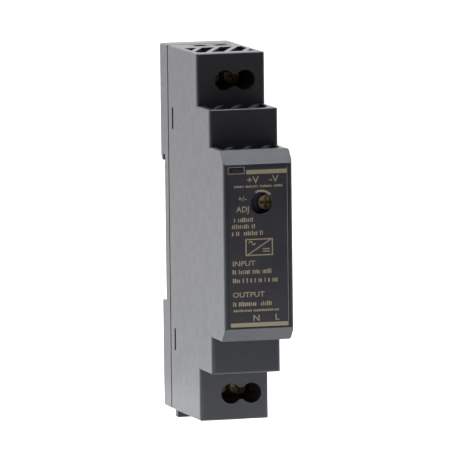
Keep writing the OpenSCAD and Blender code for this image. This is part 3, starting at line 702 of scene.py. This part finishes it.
def lettering(words, x, z, cap, stretch=1.0):
    """Plain lettering as a closed thin mesh standing on the label's plane."""
    curve = bpy.data.curves.new("mark", "FONT")
    curve.body = words
    cap_share = 0.7
    curve.size = cap / cap_share * MM
    curve.extrude = 0.02 * MM
    curve.offset = 0.02 * MM
    curve.resolution_u = 3
    mesh = baked(bpy.data.objects.new("mark_build", curve), "mark")
    mesh.transform(
        Matrix.Translation(Vector((x, 0, z)) * MM) @ Matrix.Rotation(math.pi / 2, 4, "X")
        @ Matrix.Diagonal((stretch, 1, 1, 1)))
    work = bmesh.new()
    work.from_mesh(mesh)
    bmesh.ops.remove_doubles(work, verts=work.verts, dist=1e-7)
    work.to_mesh(mesh)
    work.free()
    return mesh


def printed_set(name, meshes, ink):
    """Joins marks into one print that stands just proud of the label; one set also holds a painted
    highlight.
    """
    work = bmesh.new()
    for mesh in meshes:
        work.from_mesh(mesh)
    joined = bpy.data.meshes.new(name)
    work.to_mesh(joined)
    work.free()
    joined.transform(Matrix.Translation((0, LABEL_Y * MM, 0)))
    for face in joined.polygons:
        face.material_index = 0
    add_piece(name, joined, ink, CASE, "label_film")


def filler_row_tree():
    """A row of small uneven strokes that stands where small print would be."""
    tree = Tree("filler_row", {
        "Strokes": 12, "Step": 0.5 * MM, "Height": 1.1 * MM, "Seed": 1, "Gaps": 0.14,
        "Narrow": 0.4, "Short": 0.68, "Relief": 0.03 * MM,
    }, PRINT_INK)
    line = tree.make("GeometryNodeMeshLine", Count="Strokes",
                     Offset=tree.vector("Step", 0.0, 0.0))
    skip = tree.make("FunctionNodeRandomValue", {"data_type": "BOOLEAN"}, Probability="Gaps",
                     Seed="Seed")
    kept = tree.make("GeometryNodeDeleteGeometry", Geometry=line.outputs[0],
                     Selection=skip.outputs[3])
    block = tree.make("GeometryNodeMeshCube",
                      Size=tree.vector("Step", "Relief", "Height"))
    standing = tree.make(
        "GeometryNodeTransform", Geometry=block.outputs["Mesh"],
        Translation=tree.vector(0.0, 0.0, tree.math("MULTIPLY", "Height", 0.5)))
    width, tall = (tree.node("FunctionNodeRandomValue", data_type="FLOAT") for _ in range(2))
    for value, low, high, shift in ((width, "Narrow", 0.85, 7.0), (tall, "Short", 1.0, 23.0)):
        tree.put(low, value.inputs[2])
        tree.put(high, value.inputs[3])
        tree.put(tree.math("ADD", "Seed", shift), value.inputs["Seed"])
    row = tree.make("GeometryNodeInstanceOnPoints", Points=kept.outputs[0],
                    Instance=standing.outputs[0],
                    Scale=tree.vector(width.outputs[1], 1.0, tall.outputs[1]))
    tree.finish(row.outputs[0])
    return tree


filler_row = filler_row_tree()


def row(x, z, length, height, seed, step=0.5, gaps=0.14):
    """A row of filler from x over a length, with z as its middle height."""
    return filler_row.mesh(
        "row", Matrix.Translation(Vector((x + step / 2, -0.01, z - height / 2)) * MM),
        Strokes=round(length / step), Step=step * MM, Height=height * MM, Seed=seed, Gaps=gaps)


RELIEF = 0.03  # height of the print in millimetres
marks = [flat_plate(outline, RELIEF) for outline in (
    bar(-2.98, 7.35, 17.7, 18.75),
    bar(-7.28, 7.23, -19.6, -18.6),
    arc(*TRIMMER_HOLE, 2.85, 3.35, 42, 118),
    # converter symbol: frame, diagonal, wave bars and the two straight bars
    bar(-3.36, 3.6, 1.62, 1.9),
    bar(-3.36, 3.6, -2.25, -1.97),
    bar(-3.36, -3.08, -1.97, 1.62),
    bar(3.32, 3.6, -1.97, 1.62),
    [(-3.0, -1.97), (-2.5, -1.97), (3.25, 1.62), (2.75, 1.62)],
    bar(1.0, 2.8, -0.75, -0.5),
    bar(1.0, 2.8, -1.35, -1.1),
    arc(-2.05, 0.85, 0.28, 0.52, 0, 180, 10),
    arc(-1.25, 0.85, 0.28, 0.52, 180, 360, 10),
)]
marks += [
    lettering("+V", -2.9, 15.5, 1.65, stretch=1.1),
    lettering("-V", 2.75, 15.6, 1.65, stretch=1.1),
    lettering("+/-", -5.15, 11.2, 1.2, stretch=1.1),
    lettering("ADJ", -5.6, 8.5, 1.4),
    lettering("N", -1.7, -18.2, 1.5, stretch=1.1),
    lettering("L", 3.9, -18.15, 1.5, stretch=1.1),
    lettering("INPUT", -6.75, -4.65, 1.25, stretch=1.15),
    lettering("OUTPUT", -6.75, -12.3, 1.25, stretch=1.15),
]
marks += [
    row(-6.1, 14.74, 12.3, 0.6, 3, 0.36),
    row(-6.8, 6.65, 5.6, 1.15, 11),
    row(-6.8, 5.05, 6.0, 1.15, 12),
    row(-6.8, 3.35, 7.8, 1.15, 13),
    row(-6.75, -6.07, 9.9, 1.15, 14),
    row(-6.75, -8.19, 11.6, 1.15, 15),
    row(-6.75, -13.92, 10.2, 1.15, 17),
    row(-6.6, -15.57, 12.4, 0.6, 18, 0.36),
]
printed_set("label_print", marks, PRINT_INK)
lens_frame_and_edge_highlight = [flat_plate(outline, RELIEF) for outline in (
    bar(-7.6, -3.38, 19.42, 19.58),
    bar(-7.6, -3.38, 17.82, 17.98),
    bar(-7.6, -7.44, 17.98, 19.42),
    bar(-3.54, -3.38, 17.98, 19.42),
    # painted highlight: a pale line along the label's right edge, where the recess edge catches light
    bar(7.3, 7.42, -19.6, 19.4),
)]
printed_set("lens_frame_print_and_edge_highlight", lens_frame_and_edge_highlight, PALE_INK_AND_HIGHLIGHT)


# ---- stage, light and camera ------------------------------------------------


def studio_floor():
    """Pale floor with a painted glow: it glows a little under the object, like a lit white table."""
    floor_mesh = bpy.data.meshes.new("studio_floor")
    reach = 12.0
    floor_z = (FOOT_Z - 0.1) * MM
    work = bmesh.new()
    corners = [work.verts.new((x, y, floor_z))
               for x, y in ((-reach, -reach), (reach, -reach), (reach, reach), (-reach, reach))]
    work.faces.new(corners)
    work.to_mesh(floor_mesh)
    work.free()
    floor = bpy.data.objects.new("studio_floor", floor_mesh)
    bpy.context.scene.collection.objects.link(floor)
    f = Finish("pale_floor_with_painted_glow", 0.8, specular=0.1)
    # the pale table starts just in front of the object
    edge_start, edge_end = -0.2, -0.09
    near_edge = f.between(f.axis("Y"), edge_start, edge_end, 0.0, 1.0)
    pale = f.ramp(f.noise(3, 2), 0.3, 0.7, (0.86, 0.86, 0.86), (0.9, 0.9, 0.9))
    f.colour(f.mix(near_edge, (0.2, 0.2, 0.21), pale))
    away = f.node("VectorMath", operation="LENGTH")
    f.link(f.place, away.inputs[0])
    # painted glow: the floor emits light, brightest right under the object and weaker further away, like
    # a pool of light
    glow_near, glow_far = 1.3, 0.3
    painted_glow = f.between(away.outputs["Value"], 0.055, 0.1, glow_near, glow_far)
    f.shader.inputs["Emission Color"].default_value = (0.93, 0.97, 1.0, 1)
    f.link(f.math("MULTIPLY", painted_glow, near_edge), f.shader.inputs["Emission Strength"])
    floor_mesh.materials.append(f.material)


def studio_world():
    """Soft surround: bright above and behind the object, dark in front of it."""
    world = bpy.data.worlds.new("studio")
    world.use_nodes = True
    tree = world.node_tree
    background = tree.nodes["Background"]
    coordinates = tree.nodes.new("ShaderNodeTexCoord")
    towards = tree.nodes.new("ShaderNodeVectorMath")
    towards.operation = "DOT_PRODUCT"
    brightest = Vector((-0.2, 0.8, 0.56))
    towards.inputs[1].default_value = brightest.normalized()
    tree.links.new(coordinates.outputs["Generated"], towards.inputs[0])
    ramp = tree.nodes.new("ShaderNodeMapRange")
    for key, limit in (("From Min", -0.35), ("From Max", 0.75), ("To Min", 0.03), ("To Max", 1.8)):
        ramp.inputs[key].default_value = limit
    tree.links.new(towards.outputs["Value"], ramp.inputs["Value"])
    tree.links.new(ramp.outputs["Result"], background.inputs["Strength"])
    background.inputs["Color"].default_value = (1.0, 0.995, 0.985, 1)
    bpy.context.scene.world = world


def soft_light(name, place, target, size, power, colour=(1, 1, 1)):
    """A rectangular soft box that faces its target."""
    light = bpy.data.lights.new(name, "AREA")
    light.shape = "RECTANGLE"
    light.size, light.size_y = size
    light.energy = power
    light.color = colour
    holder = bpy.data.objects.new(name, light)
    holder.location = place
    holder.rotation_euler = (Vector(target) - Vector(place)).to_track_quat("-Z", "Y").to_euler()
    bpy.context.scene.collection.objects.link(holder)


def product_camera():
    """Long lens from the front left, a little above."""
    turn, rise, roll = (math.radians(a) for a in (-16.04, 6.39, -0.67))
    distance = 2304.7 * MM
    aside, above = 2.227 * MM, 2.203 * MM
    object_middle = Vector((0, -35.5 * MM, 0))
    back = Vector(
        (math.sin(turn) * math.cos(rise), -math.cos(turn) * math.cos(rise), math.sin(rise)))
    right = (-back).cross(Vector((0, 0, 1))).normalized()
    up = right.cross(-back)
    right_rolled = math.cos(roll) * right + math.sin(roll) * up
    up_rolled = -math.sin(roll) * right + math.cos(roll) * up
    place = object_middle + back * distance
    aim = object_middle - right_rolled * aside + up_rolled * above
    look = (aim - place).normalized()
    side = look.cross(up_rolled).normalized()
    top = side.cross(look)
    camera_data = bpy.data.cameras.new("product_camera")
    camera_data.sensor_width = 36
    camera_data.lens = 736.88
    camera_data.clip_start, camera_data.clip_end = 0.05, 100
    camera = bpy.data.objects.new("product_camera", camera_data)
    camera.matrix_world = Matrix((
        (side.x, top.x, -look.x, place.x),
        (side.y, top.y, -look.y, place.y),
        (side.z, top.z, -look.z, place.z),
        (0, 0, 0, 1),
    ))
    bpy.context.scene.collection.objects.link(camera)
    bpy.context.scene.camera = camera


studio_floor()
studio_world()
soft_light("overhead", place=(0.1, -0.05, 0.75), target=(0, -0.03, 0), size=(0.45, 0.45),
           power=3.6, colour=(0.86, 0.93, 1.0))
soft_light("left_panel", place=(-0.5, 0.25, 0.25), target=(0, -0.02, 0), size=(0.35, 0.6), power=2.0)
product_camera()
bpy.context.scene.view_settings.view_transform = "Standard"
